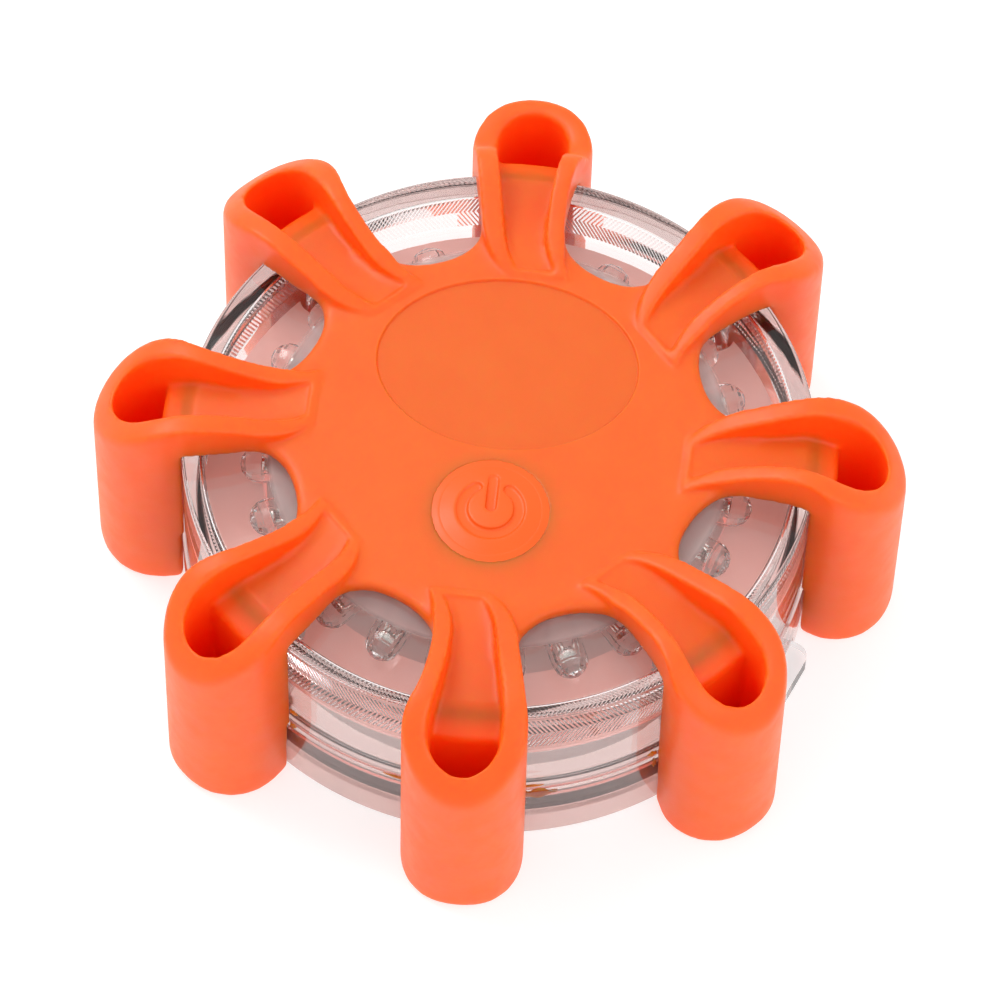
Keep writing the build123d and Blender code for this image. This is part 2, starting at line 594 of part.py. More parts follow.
# Contact strips at both ends of the tray, and a spring for each cell's flat end.
with BuildPart() as contact_plates:
    for side in (1, -1):
        middle = (0, side * CONTACT_Y, (CONTACT_BOTTOM + CONTACT_TOP) / 2)
        with BuildSketch(Plane(middle, x_dir=(1, 0, 0), z_dir=(0, side, 0))):
            Rectangle(2 * CONTACT_HALF_WIDTH, CONTACT_TOP - CONTACT_BOTTOM)
        extrude(amount=CONTACT_THICKNESS)
save(contact_plates.part, "contact_plates")

spring_length = CONTACT_Y - CELL_LENGTH / 2 - 2 * SPRING_WIRE_RADIUS
spring_pitch = spring_length / SPRING_TURNS
with BuildPart() as contact_spring:
    with BuildLine() as coil:
        Helix(pitch=spring_pitch, height=spring_length, radius=SPRING_RADIUS)
    with BuildSketch(Plane(coil.line @ 0, z_dir=coil.line % 0)):
        Circle(SPRING_WIRE_RADIUS)
    sweep(path=coil.line, is_frenet=True)
with BuildPart() as contact_springs:
    for k, x in enumerate(CELL_LANES):
        side = -1 if k % 2 == 0 else 1
        root = side * (CELL_LENGTH / 2 + SPRING_WIRE_RADIUS)
        with Locations(Location((x, root, CELL_HEIGHT), (-90 * side, 0, 0))):
            add(contact_spring.part)
save(contact_springs.part, "contact_springs")

# Two pins that carry the current from the strip up to the board.
with BuildPart() as terminal_pins:
    with BuildSketch(Plane.XY.offset(CONTACT_TOP)):
        with Locations(*[(x, y + CONTACT_THICKNESS / 2) for x, y in PIN_SPOTS]):
            Circle(PIN_RADIUS)
    extrude(amount=BOARD_BOTTOM - CONTACT_TOP)
save(terminal_pins.part, "terminal_pins")

# The circuit board and its screws.
with BuildPart() as led_board:
    with BuildSketch(Plane.XY.offset(BOARD_BOTTOM)):
        Circle(BOARD_RADIUS)
        with Locations(*BOARD_SCREW_SPOTS):
            Circle(BOARD_SCREW_RADIUS + BOARD_HOLE_CLEARANCE, mode=Mode.SUBTRACT)
    extrude(amount=BOARD_TOP - BOARD_BOTTOM)
save(led_board.part, "led_board")

with BuildPart() as board_screws:
    with BuildSketch(Plane.XY.offset(BOARD_TOP)):
        with Locations(*BOARD_SCREW_SPOTS):
            Circle(BOARD_SCREW_HEAD_RADIUS)
    extrude(amount=BOARD_SCREW_HEAD_HEIGHT)
    with BuildSketch(Plane.XY.offset(BOARD_SCREW_TIP)):
        with Locations(*BOARD_SCREW_SPOTS):
            Circle(BOARD_SCREW_RADIUS)
    extrude(amount=BOARD_TOP - BOARD_SCREW_TIP)
save(board_screws.part, "board_screws")

# One LED lying along +X: a clear domed body with a rim, on two bent legs.
with BuildPart() as side_led:
    with BuildSketch(Plane.XZ):
        with BuildLine():
            shoulder = LED_TIP - LED_RADIUS
            Polyline(
                (shoulder, LED_HEIGHT + LED_RADIUS), (LED_BACK + LED_RIM_LENGTH, LED_HEIGHT + LED_RADIUS),
                (LED_BACK + LED_RIM_LENGTH, LED_HEIGHT + LED_RIM_RADIUS),
                (LED_BACK, LED_HEIGHT + LED_RIM_RADIUS), (LED_BACK, LED_HEIGHT), (LED_TIP, LED_HEIGHT),
            )
            RadiusArc((LED_TIP, LED_HEIGHT), (shoulder, LED_HEIGHT + LED_RADIUS), -LED_RADIUS)
        make_face()
    revolve(axis=Axis((0, 0, LED_HEIGHT), (1, 0, 0)))
    for side in (-1, 1):
        with BuildSketch(Plane((0, side * LEAD_OFFSET, 0), z_dir=(0, 1, 0), x_dir=(1, 0, 0))):
            with BuildLine():
                half = LEAD_WIDTH / 2
                Polyline(
                    (LED_BACK, -LED_HEIGHT - half), (LEAD_REACH - half, -LED_HEIGHT - half),
                    (LEAD_REACH - half, -BOARD_TOP), (LEAD_REACH + half, -BOARD_TOP),
                    (LEAD_REACH + half, -LED_HEIGHT + half), (LED_BACK, -LED_HEIGHT + half), close=True,
                )
            make_face()
        extrude(amount=half, both=True)
with BuildPart() as side_leds:
    with PolarLocations(0, LED_COUNT, start_angle=LED_STEP / 2):
        add(side_led.part)
save(side_leds.part, "side_leds")

# The white ring that throws the LEDs' light outward, notched round the bosses.
with BuildPart() as reflector_ring:
    with BuildSketch(Plane.XZ):
        with BuildLine():
            foot = REFLECTOR_INNER + REFLECTOR_THICKNESS
            Polyline(
                (REFLECTOR_INNER, REFLECTOR_INNER_TOP), (REFLECTOR_OUTER, REFLECTOR_OUTER_TOP),
                (REFLECTOR_OUTER, REFLECTOR_OUTER_TOP - REFLECTOR_THICKNESS),
                (foot, REFLECTOR_INNER_TOP - REFLECTOR_THICKNESS - REFLECTOR_CORNER_DROP),
                (foot, TRAY_ROOF_TOP), (REFLECTOR_INNER, TRAY_ROOF_TOP),
                close=True,
            )
        make_face()
    revolve(axis=Axis.Z)
    with BuildSketch(Plane.XY.offset(TRAY_ROOF_TOP)):
        with Locations(*BOSS_SPOTS):
            Circle(BOSS_RADIUS + REFLECTOR_BOSS_GAP)
    extrude(amount=CUT_HEIGHT, mode=Mode.SUBTRACT)
save(reflector_ring.part, "reflector_ring")

# The power switch: a square body on the board and the plunger that clicks in it.
with BuildPart() as switch_body:
    with BuildSketch(Plane((0, BUTTON_Y, BOARD_TOP))):
        Rectangle(SWITCH_SIZE, SWITCH_SIZE)
    extrude(amount=SWITCH_HEIGHT)
    chamfer(switch_body.edges().filter_by(Axis.Z), SWITCH_CORNER)
    with BuildSketch(Plane((0, BUTTON_Y, PLUNGER_BORE_BOTTOM))):
        Circle(PLUNGER_RADIUS + PLUNGER_FIT)
    extrude(amount=BOARD_TOP + SWITCH_HEIGHT - PLUNGER_BORE_BOTTOM, mode=Mode.SUBTRACT)
save(switch_body.part, "switch_body")

with BuildPart() as switch_plunger:
    with BuildSketch(Plane((0, BUTTON_Y, PLUNGER_BOTTOM))):
        Circle(PLUNGER_RADIUS)
    extrude(amount=PLUNGER_TOP - PLUNGER_BOTTOM)
save(switch_plunger.part, "switch_plunger")

# The driver chip with its legs, the capacitor and the small resistors.
with BuildPart() as driver_chip:
    with BuildSketch(Plane((CHIP_X, CHIP_Y, BOARD_TOP + CHIP_STAND_OFF))):
        Rectangle(CHIP_LENGTH, CHIP_WIDTH)
    extrude(amount=CHIP_HEIGHT)
    with BuildSketch(Plane((CHIP_X, CHIP_Y, BOARD_TOP))):
        with GridLocations(CHIP_LEG_PITCH, CHIP_LEG_SPREAD, CHIP_LEGS_PER_ROW, CHIP_LEG_ROWS):
            Rectangle(CHIP_LEG_WIDTH, CHIP_LEG_LENGTH)
    extrude(amount=CHIP_LEG_HEIGHT)
save(driver_chip.part, "driver_chip")

with BuildPart() as board_capacitor:
    with BuildSketch(Plane((CAPACITOR_X, CAPACITOR_Y, BOARD_TOP))):
        Circle(CAPACITOR_RADIUS)
    extrude(amount=CAPACITOR_HEIGHT)
    fillet(board_capacitor.faces().sort_by(Axis.Z)[-1].edges(), CAPACITOR_ROUND)
save(board_capacitor.part, "board_capacitor")

with BuildPart() as board_resistors:
    with BuildSketch(Plane((0, RESISTOR_Y, BOARD_TOP))):
        with GridLocations(RESISTOR_PITCH, RESISTOR_PITCH, RESISTOR_COLUMNS, RESISTOR_ROWS):
            Rectangle(RESISTOR_LENGTH, RESISTOR_WIDTH)
    extrude(amount=RESISTOR_HEIGHT)
save(board_resistors.part, "board_resistors")
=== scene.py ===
import math
import random

import bmesh
import bpy
import numpy as np
from mathutils import Matrix, Vector


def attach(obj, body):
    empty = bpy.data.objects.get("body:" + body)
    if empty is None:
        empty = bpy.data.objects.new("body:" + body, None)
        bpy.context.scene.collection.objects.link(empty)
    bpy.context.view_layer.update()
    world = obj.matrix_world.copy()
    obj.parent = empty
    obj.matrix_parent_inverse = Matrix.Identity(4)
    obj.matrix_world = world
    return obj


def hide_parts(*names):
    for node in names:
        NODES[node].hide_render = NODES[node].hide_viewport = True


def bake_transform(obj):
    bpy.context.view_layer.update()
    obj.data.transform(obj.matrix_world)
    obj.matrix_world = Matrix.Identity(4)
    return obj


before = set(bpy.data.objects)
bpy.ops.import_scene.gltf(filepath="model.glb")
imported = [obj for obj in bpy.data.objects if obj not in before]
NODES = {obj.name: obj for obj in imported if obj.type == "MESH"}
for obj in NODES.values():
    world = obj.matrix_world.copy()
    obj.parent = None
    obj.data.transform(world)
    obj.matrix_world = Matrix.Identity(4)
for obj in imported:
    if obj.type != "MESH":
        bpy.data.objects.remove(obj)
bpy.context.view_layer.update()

# LED safety flare: a clear drum of LEDs in an orange rubber bumper with eight looped arms.
# Lengths are in millimetres until they are multiplied by MM. -Y is the side with the power button.
MM = 0.001

# Sizes that the CAD also has
LENS_RADIUS = 41.2
LENS_INNER = 38.9
LENS_TOP = 30.35
ROOF_BOTTOM = 28.1
PLATE_TOP = 32.3
FLANGE_TOP = 11.0
SKIRT_INNER = 38.0
SKIRT_OUTER = 39.4
SKIRT_BOTTOM = 7.9
BUTTON_Y = -11.9
OVAL_Y = 10.5
OVAL_HALF_LENGTH = 17.05
OVAL_HALF_WIDTH = 12.95

# Camera
CAMERA_AZIMUTH = 4.095
CAMERA_ELEVATION = 59.17
CAMERA_ROLL = 1.807
CAMERA_LENS = 235.27
CAMERA_SENSOR = 36
CAMERA_DISTANCE = 0.87247
CAMERA_CLIP = (0.05, 20)
CAMERA_AIM = Vector((-0.000092, 0.006645, 0.003959))


def set_camera():
    """A long lens, a little right of the front and well above it, with a slight roll."""
    a, e = math.radians(CAMERA_AZIMUTH), math.radians(CAMERA_ELEVATION)
    roll = math.radians(CAMERA_ROLL)
    back = Vector((math.sin(a) * math.cos(e), -math.cos(a) * math.cos(e), math.sin(e)))
    right = Vector((math.cos(a), math.sin(a), 0))
    up = back.cross(right)
    tilted_right = math.cos(roll) * right + math.sin(roll) * up
    tilted_up = -math.sin(roll) * right + math.cos(roll) * up
    camera = bpy.data.objects.new("camera", bpy.data.cameras.new("camera"))
    bpy.context.collection.objects.link(camera)
    camera.data.lens = CAMERA_LENS
    camera.data.sensor_width = CAMERA_SENSOR
    camera.data.clip_start, camera.data.clip_end = CAMERA_CLIP
    turn = Matrix((tilted_right, tilted_up, back)).transposed().to_4x4()
    camera.matrix_world = Matrix.Translation(CAMERA_AIM + back * CAMERA_DISTANCE) @ turn
    bpy.context.scene.camera = camera


# ---------------------------------------------------------------- light

WORLD_COLOUR = (1.0, 0.99, 0.985, 1)
WORLD_STRENGTH = 0.90
KEY_POWER = 5.8
KEY_PLACE = (-0.55, 0.35, 0.95)
KEY_SIZE = 0.55
FILL_POWER = 2.2
FILL_PLACE = (0.7, -0.5, 0.8)
FILL_SIZE = 0.6
MAX_BOUNCES = 24
CLEAR_BOUNCES = 20
GLOSSY_BOUNCES = 8
DIFFUSE_BOUNCES = 12


def set_light():
    """Even white surroundings, a softbox at the back left and a weaker one at the front right."""
    world = bpy.data.worlds.new("studio")
    bpy.context.scene.world = world
    world.use_nodes = True
    background = world.node_tree.nodes["Background"]
    background.inputs["Color"].default_value = WORLD_COLOUR
    background.inputs["Strength"].default_value = WORLD_STRENGTH
    for name, power, place, size in (
        ("key", KEY_POWER, KEY_PLACE, KEY_SIZE),
        ("fill", FILL_POWER, FILL_PLACE, FILL_SIZE),
    ):
        light = bpy.data.objects.new(name, bpy.data.lights.new(name, "AREA"))
        light.data.energy = power
        light.data.size = size
        light.location = place
        light.rotation_euler = (-Vector(place)).to_track_quat("-Z", "Y").to_euler()
        bpy.context.collection.objects.link(light)
    bpy.context.scene.view_settings.view_transform = "Standard"
    cycles = bpy.context.scene.cycles
    cycles.max_bounces = MAX_BOUNCES
    cycles.transmission_bounces = CLEAR_BOUNCES
    cycles.transparent_max_bounces = MAX_BOUNCES
    cycles.glossy_bounces = GLOSSY_BOUNCES
    cycles.diffuse_bounces = DIFFUSE_BOUNCES


# ---------------------------------------------------------------- materials

# How far the roughness varies below and above its middle value, and the sizes and depths of the marks
MOULDED_GLOSS = (-0.05, 0.07)
MOULDED_WAVE = 0.05
CLEAR_PATCH = 12
CLEAR_WAVE_SIZE = 6
SCUFF_SIZE = 1.5
SCUFF_DETAIL = 8
SCUFF_RAGGED = 0.75
SCUFF_ROUGHNESS = 0.08
METAL_GLOSS = (-0.06, 0.1)
METAL_PATCH = 3
BLOTCH_SIZE = 0.8
SCRATCH_SIZE = 0.25
SCRATCH_DEPTH = 0.006

# The frosted part of the drum's roof: how far out it reaches, its fade, its slab and how dense it is
FROST_REACH = 30.6
FROST_FADE = 1.0
FROST_ABOVE = 0.5
FROST_BELOW = 1.0
FROST_EDGE = 0.1
FROST_WEIGHT = 0.65
FROST_COLOUR = (0.97, 0.86, 0.84)

# The milky floor of the base, which also has a painted pink glow
BASE_FLOOR_TOP = 4.8
MILK_START = -0.2
MILK_END = 0.3
MILK_WEIGHT = 0.28
MILK_PAINTED_GLOW = 0.08


def start_material(name, **sockets):
    """A new material with its Principled shader's constant sockets set."""
    material = bpy.data.materials.new(name)
    material.use_nodes = True
    shader = material.node_tree.nodes["Principled BSDF"]
    for socket, value in sockets.items():
        shader.inputs[socket.replace("_", " ")].default_value = value
    return material, material.node_tree, shader


def add_node(tree, kind, **inputs):
    """A new node with the named inputs set or linked."""
    node = tree.nodes.new(kind)
    for name, value in inputs.items():
        socket = node.inputs[name.replace("_", " ")]
        if isinstance(value, bpy.types.NodeSocket):
            tree.links.new(value, socket)
        else:
            socket.default_value = value
    return node


def noise(tree, size, detail=3.0, roughness=0.55):
    """Noise over the object's own space, with features about that many millimetres across."""
    coords = tree.nodes.get("Texture Coordinate") or tree.nodes.new("ShaderNodeTexCoord")
    return add_node(
        tree, "ShaderNodeTexNoise", Vector=coords.outputs["Object"], Scale=1 / (size * MM),
        Detail=detail, Roughness=roughness,
    ).outputs["Fac"]


def spread(tree, value, low, high, start=0.3, end=0.7):
    """Maps a 0 to 1 value to the range low to high."""
    return add_node(
        tree, "ShaderNodeMapRange", Value=value, From_Min=start, From_Max=end, To_Min=low, To_Max=high,
    ).outputs["Result"]


def two_colours(tree, fac, first, second):
    """A colour between two, by a 0 to 1 value."""
    ramp = tree.nodes.new("ShaderNodeValToRGB")
    ramp.color_ramp.elements[0].color = (*first, 1)
    ramp.color_ramp.elements[1].color = (*second, 1)
    tree.links.new(fac, ramp.inputs["Fac"])
    return ramp.outputs["Color"]


def bump(tree, height, depth, normal=None):
    """A bump normal whose full height is that many millimetres."""
    node = add_node(tree, "ShaderNodeBump", Height=height, Distance=depth * MM, Strength=1.0)
    if normal is not None:
        tree.links.new(normal, node.inputs["Normal"])
    return node.outputs["Normal"]


def moulded(name, light, dark, roughness, patch=9.0, grain=0.3, grain_depth=0.012, **sockets):
    """Moulded plastic or rubber: soft colour patches, uneven gloss, a fine grain and a slow waviness."""
    material, tree, shader = start_material(name, **sockets)
    colour = two_colours(tree, spread(tree, noise(tree, patch), 0, 1), dark, light)
    tree.links.new(colour, shader.inputs["Base Color"])
    below, above = MOULDED_GLOSS
    gloss = spread(tree, noise(tree, patch / 3, 5), roughness + below, roughness + above)
    tree.links.new(gloss, shader.inputs["Roughness"])
    wave = bump(tree, noise(tree, patch / 2, 1), MOULDED_WAVE)
    tree.links.new(bump(tree, noise(tree, grain, 2), grain_depth, wave), shader.inputs["Normal"])
    return material


def math_node(tree, operation, first, second=0.0):
    """The result of one sum on one or two values."""
    node = tree.nodes.new("ShaderNodeMath")
    node.operation = operation
    for socket, value in zip(node.inputs, (first, second)):
        if isinstance(value, bpy.types.NodeSocket):
            tree.links.new(value, socket)
        else:
            socket.default_value = value
    return node.outputs["Value"]


def clear(name, light, dark, ior, roughness=0.02, wave=0.03, **sockets):
    """Clear moulded plastic: faint tint patches, thin scuffs in the gloss and a slow waviness."""
    material, tree, shader = start_material(name, Transmission_Weight=1.0, IOR=ior, **sockets)
    colour = two_colours(tree, spread(tree, noise(tree, CLEAR_PATCH), 0, 1), dark, light)
    tree.links.new(colour, shader.inputs["Base Color"])
    marks = noise(tree, SCUFF_SIZE, SCUFF_DETAIL, SCUFF_RAGGED)
    scuffs = spread(tree, marks, roughness, roughness + SCUFF_ROUGHNESS, 0.5, 0.8)
    tree.links.new(scuffs, shader.inputs["Roughness"])
    tree.links.new(bump(tree, noise(tree, CLEAR_WAVE_SIZE, 1), wave), shader.inputs["Normal"])
    return material


def metal(name, light, dark, roughness):
    """Plated metal with faint blotches and fine scratches."""
    material, tree, shader = start_material(name, Metallic=1.0)
    colour = two_colours(tree, spread(tree, noise(tree, METAL_PATCH), 0, 1), dark, light)
    tree.links.new(colour, shader.inputs["Base Color"])
    below, above = METAL_GLOSS
    gloss = spread(tree, noise(tree, BLOTCH_SIZE, 6), roughness + below, roughness + above)
    tree.links.new(gloss, shader.inputs["Roughness"])
    tree.links.new(bump(tree, noise(tree, SCRATCH_SIZE, 4), SCRATCH_DEPTH), shader.inputs["Normal"])
    return material


def object_place(tree):
    """The shaded point's X, Y and Z in the object's own space."""
    coords = tree.nodes["Texture Coordinate"].outputs["Object"]
    return add_node(tree, "ShaderNodeSeparateXYZ", Vector=coords).outputs


def frosted_lens():
    """The drum's clear plastic, with the inner part of the roof's underside frosted."""
    material = clear("clear_drum", (1.0, 0.99, 0.99), (0.99, 0.98, 0.98), 1.5)
    tree = material.node_tree
    shader = tree.nodes["Principled BSDF"]
    place = object_place(tree)
    x_squared = math_node(tree, "MULTIPLY", place["X"], place["X"])
    y_squared = math_node(tree, "MULTIPLY", place["Y"], place["Y"])
    reach = math_node(tree, "SQRT", math_node(tree, "ADD", x_squared, y_squared))
    inward = spread(tree, reach, 1, 0, (FROST_REACH - FROST_FADE) * MM, FROST_REACH * MM)
    top, bottom = ROOF_BOTTOM + FROST_ABOVE, ROOF_BOTTOM - FROST_BELOW
    below = spread(tree, place["Z"], 1, 0, top * MM, (top + FROST_EDGE) * MM)
    above = spread(tree, place["Z"], 0, 1, bottom * MM, (bottom + FROST_EDGE) * MM)
    frost = math_node(tree, "MULTIPLY", inward, math_node(tree, "MULTIPLY", below, above))
    tree.links.new(spread(tree, frost, 1.0, 1 - FROST_WEIGHT, 0, 1), shader.inputs["Transmission Weight"])
    clear_colour = shader.inputs["Base Color"].links[0].from_socket
    mix = add_node(tree, "ShaderNodeMix")
    mix.data_type = "RGBA"
    tree.links.new(frost, mix.inputs["Factor"])
    tree.links.new(clear_colour, mix.inputs[6])
    mix.inputs[7].default_value = (*FROST_COLOUR, 1)
    tree.links.new(mix.outputs[2], shader.inputs["Base Color"])
    return material


def milky_base():
    """The base's clear plastic, milky and pink in its floor and clear in the wall above it; the floor also
    has a painted pink glow.
    """
    material = clear(
        "milky_polycarbonate", (0.98, 0.84, 0.81), (0.96, 0.81, 0.78), 1.5, 0.05, 0.02,
        Emission_Color=(0.9, 0.55, 0.50, 1),
    )
    tree = material.node_tree
    shader = tree.nodes["Principled BSDF"]
    place = object_place(tree)
    start, end = BASE_FLOOR_TOP + MILK_START, BASE_FLOOR_TOP + MILK_END
    milk_and_glow = spread(tree, place["Z"], 1, 0, start * MM, end * MM)
    tree.links.new(spread(tree, milk_and_glow, 1.0, 1 - MILK_WEIGHT, 0, 1), shader.inputs["Transmission Weight"])
    # The glow in the milky floor is painted light.
    tree.links.new(math_node(tree, "MULTIPLY", milk_and_glow, MILK_PAINTED_GLOW), shader.inputs["Emission Strength"])
    return material


RUBBER = moulded(
    "orange_rubber", (0.99, 0.128, 0.006), (0.98, 0.115, 0.005), 0.42,
    Subsurface_Weight=0.9, Subsurface_Radius=(1.0, 0.20, 0.05), Subsurface_Scale=0.006, IOR=1.47,
    Specular_IOR_Level=0.4,
)
# The button and its web are too thin for light to spread far in them
THIN_RUBBER = moulded(
    "thin_rubber", (0.88, 0.110, 0.007), (0.85, 0.100, 0.006), 0.36, Specular_IOR_Level=0.36,
)
LENS = clear("clear_polycarbonate", (1.0, 0.99, 0.99), (0.99, 0.98, 0.98), 1.5)
DRUM = frosted_lens()
MILKY_WITH_PAINTED_GLOW = milky_base()
EPOXY = clear("clear_led", (1.0, 0.99, 0.985), (0.99, 0.98, 0.97), 1.5, 0.01, 0.02)
GASKET = moulded("grey_gasket", (0.06, 0.05, 0.048), (0.035, 0.03, 0.03), 0.6)
# White plastic: its glow is painted light that brightens the inside of the drum, and its pink tint is
# partly its own colour and partly painted orange light from the rubber.
WHITE_WITH_PAINTED_GLOW = moulded(
    "white_plastic", (0.95, 0.87, 0.85), (0.91, 0.82, 0.80), 0.4,
    Emission_Color=(0.9, 0.78, 0.75, 1), Emission_Strength=0.08,
)
# Salmon plastic for the reflector ring: its glow is painted light that brightens the inside of the drum,
# and its salmon colour is partly its own and partly painted orange light from the rubber.
SALMON_WITH_PAINTED_GLOW = moulded(
    "salmon_plastic_with_painted_glow", (0.93, 0.50, 0.44), (0.89, 0.44, 0.38), 0.2,
    Emission_Color=(0.9, 0.42, 0.36, 1), Emission_Strength=0.22,
)
BLACK = moulded("black_plastic", (0.03, 0.03, 0.03), (0.02, 0.02, 0.02), 0.4)
# Circuit board: its glow is painted light that lifts the shaded board inside the drum, and its salmon tint
# is partly its own colour and partly painted orange light from the rubber.
BOARD_WITH_PAINTED_GLOW = moulded(
    "circuit_board", (0.88, 0.64, 0.60), (0.82, 0.57, 0.53), 0.3,
    Emission_Color=(0.8, 0.5, 0.45, 1), Emission_Strength=0.15,
)
WRAP = moulded("battery_wrap", (0.05, 0.06, 0.07), (0.03, 0.035, 0.04), 0.25)
STEEL = metal("steel", (0.60, 0.60, 0.61), (0.48, 0.48, 0.49), 0.3)
NICKEL = metal("nickel", (0.74, 0.71, 0.67), (0.62, 0.60, 0.56), 0.22)
MAGNET = metal("magnet_nickel", (0.50, 0.50, 0.51), (0.40, 0.40, 0.41), 0.28)
SLOT_MATERIALS = {
    "orange_rubber": RUBBER, "clear_polycarbonate": LENS, "clear_led": EPOXY, "grey_gasket": GASKET,
    "white_plastic": WHITE_WITH_PAINTED_GLOW, "black_plastic": BLACK, "circuit_board": BOARD_WITH_PAINTED_GLOW, "battery_wrap": WRAP,
    "steel": STEEL, "nickel": NICKEL, "magnet_nickel": MAGNET,
}
# Nodes whose finish differs from the rest of their slot
NODE_MATERIALS = {"base_cover": MILKY_WITH_PAINTED_GLOW, "reflector_ring": SALMON_WITH_PAINTED_GLOW}

# ---------------------------------------------------------------- building helpers


def add_piece(name, mesh, body, slot, *stands_for):
    """Links a finished mesh that rides on a body, takes its slot's finish and may replace nodes."""
    piece = bpy.data.objects.new(name, mesh)
    bpy.context.collection.objects.link(piece)
    mesh.materials.clear()
    mesh.materials.append(SLOT_MATERIALS[slot])
    mesh.shade_smooth()
    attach(piece, body)
    if stands_for:
        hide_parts(*stands_for)
    return piece


def mesh_through(source, *modifiers):
    """A new mesh: a copy of the source mesh with the given modifiers, each (type, settings), applied."""
    holder = bpy.data.objects.new("holder", source.copy())
    bpy.context.collection.objects.link(holder)
    for kind, settings in modifiers:
        modifier = holder.modifiers.new(kind, kind)
        for setting, value in settings.items():
            setattr(modifier, setting, value)
    graph = bpy.context.evaluated_depsgraph_get()
    result = bpy.data.meshes.new_from_object(holder.evaluated_get(graph))
    bpy.data.objects.remove(holder)
    return result


def read_points(mesh):
    """A mesh's points as rows, in millimetres."""
    points = np.empty(len(mesh.vertices) * 3)
    mesh.vertices.foreach_get("co", points)
    return points.reshape(-1, 3) / MM


def write_points(mesh, points):
    mesh.vertices.foreach_set("co", (points * MM).ravel())
    mesh.update()


def relax(mesh, rounds, freedom):
    """Smooths a mesh by averaging each point with its neighbours, as far as each point's freedom allows."""
    points = read_points(mesh)
    edges = np.empty(len(mesh.edges) * 2, np.int64)
    mesh.edges.foreach_get("vertices", edges)
    a, b = edges.reshape(-1, 2).T
    count = np.bincount(a, minlength=len(points)) + np.bincount(b, minlength=len(points))
    for _ in range(rounds):
        total = np.stack(
            [
                np.bincount(a, points[b, axis], len(points)) + np.bincount(b, points[a, axis], len(points))
                for axis in range(3)
            ],
            axis=1,
        )
        points += (total / count[:, None] - points) * freedom[:, None]
    write_points(mesh, points)


def smooth_step(value, start, end):
    """0 before start, 1 after end and a smooth rise between them."""
    t = np.clip((value - start) / (end - start), 0, 1)
    return t * t * (3 - 2 * t)


# ---------------------------------------------------------------- turned forms

# Distance past a rounded corner to the point that keeps the faces beside it flat
SUPPORT = 0.12
ROD_SIDES = 8


def round_corners(corners, default, special=None, steps=3):
    """Corner points (radius, height) with each inner corner rounded, and a support point past each end."""
    special = special or {}
    out = [corners[0]]
    for k in range(1, len(corners) - 1):
        here = Vector(corners[k])
        back = (Vector(corners[k - 1]) - here).normalized()
        ahead = (Vector(corners[k + 1]) - here).normalized()
        size = special.get(k, default)
        start, end = here + back * size, here + ahead * size
        out.append(tuple(here + back * (size + SUPPORT)))
        for step in range(steps + 1):
            t = step / steps
            out.append(tuple(start * (1 - t) ** 2 + here * 2 * t * (1 - t) + end * t * t))
        out.append(tuple(here + ahead * (size + SUPPORT)))
    out.append(corners[-1])
    return out


def ring_points(rings, columns):
    """Points of stacked rings, each (radius, height) and perhaps middle y, tooth depth and twist."""
    points = []
    for ring in rings:
        radius, height, middle, tooth, twist = (*ring, 0.0, 0.0, 0.0)[:5]
        for k in range(columns):
            angle = 2 * math.pi * k / columns + twist
            reach = radius - tooth * (k % 2)
            points.append((reach * math.cos(angle), middle + reach * math.sin(angle), height))
    return points


def ring_faces(count, columns, first=0, closed=False):
    """Quads between stacked rings, and from the last back to the first if the section is closed."""
    faces = []
    for row in range(count if closed else count - 1):
        low, up = first + row * columns, first + (row + 1) % count * columns
        for k in range(columns):
            after = (k + 1) % columns
            faces.append((low + k, low + after, up + after, up + k))
    return faces


def mesh_from(name, points, faces):
    """A mesh from points in millimetres, with its faces turned outward."""
    mesh = bpy.data.meshes.new(name)
    mesh.from_pydata([(x * MM, y * MM, z * MM) for x, y, z in points], [], faces)
    form = bmesh.new()
    form.from_mesh(mesh)
    bmesh.ops.recalc_face_normals(form, faces=form.faces)
    form.to_mesh(mesh)
    form.free()
    return mesh


class Shape:
    """Collects points and faces of several closed forms that end up as one mesh."""

    def __init__(self):
        self.points = []
        self.faces = []

    def add(self, points, faces, place=None):
        first = len(self.points)
        if place is not None:
            points = [tuple(place @ Vector(p)) for p in points]
        self.points += points
        self.faces += [tuple(first + k for k in face) for face in faces]

    def add_turned(self, section, columns, place=None):
        """A solid turned about Z from a section that starts and ends on the axis."""
        inner = section[1:-1]
        points = ring_points(inner, columns) + [(0, 0, section[0][1]), (0, 0, section[-1][1])]
        faces = ring_faces(len(inner), columns)
        start, end = len(points) - 2, len(points) - 1
        last = (len(inner) - 1) * columns
        for k in range(columns):
            after = (k + 1) % columns
            faces.append((start, after, k))
            faces.append((end, last + k, last + after))
        self.add(points, faces, place)

    def add_ring(self, section, columns, place=None):
        """A ring turned about Z from a closed section."""
        self.add(ring_points(section, columns), ring_faces(len(section), columns, closed=True), place)

    def add_rod(self, path, half_width, half_height, across):
        """A bar of oblong section along a path; across is the direction of its width."""
        across = Vector(across).normalized()
        path = [Vector(p) for p in path]
        points = []
        for k, here in enumerate(path):
            along = (path[min(k + 1, len(path) - 1)] - path[max(k - 1, 0)]).normalized()
            up = along.cross(across).normalized()
            for i in range(ROD_SIDES):
                angle = 2 * math.pi * (i + 0.5) / ROD_SIDES
                side = across * half_width * math.copysign(abs(math.cos(angle)) ** 0.5, math.cos(angle))
                rise = up * half_height * math.copysign(abs(math.sin(angle)) ** 0.5, math.sin(angle))
                points.append(tuple(here + side + rise))
        faces = ring_faces(len(path), ROD_SIDES)
        faces.append(tuple(range(ROD_SIDES)))
        faces.append(tuple(range(len(points) - 1, len(points) - 1 - ROD_SIDES, -1)))
        self.add(points, faces)

    def mesh(self, name):
        return mesh_from(name, self.points, self.faces)


# ---------------------------------------------------------------- bumper shell

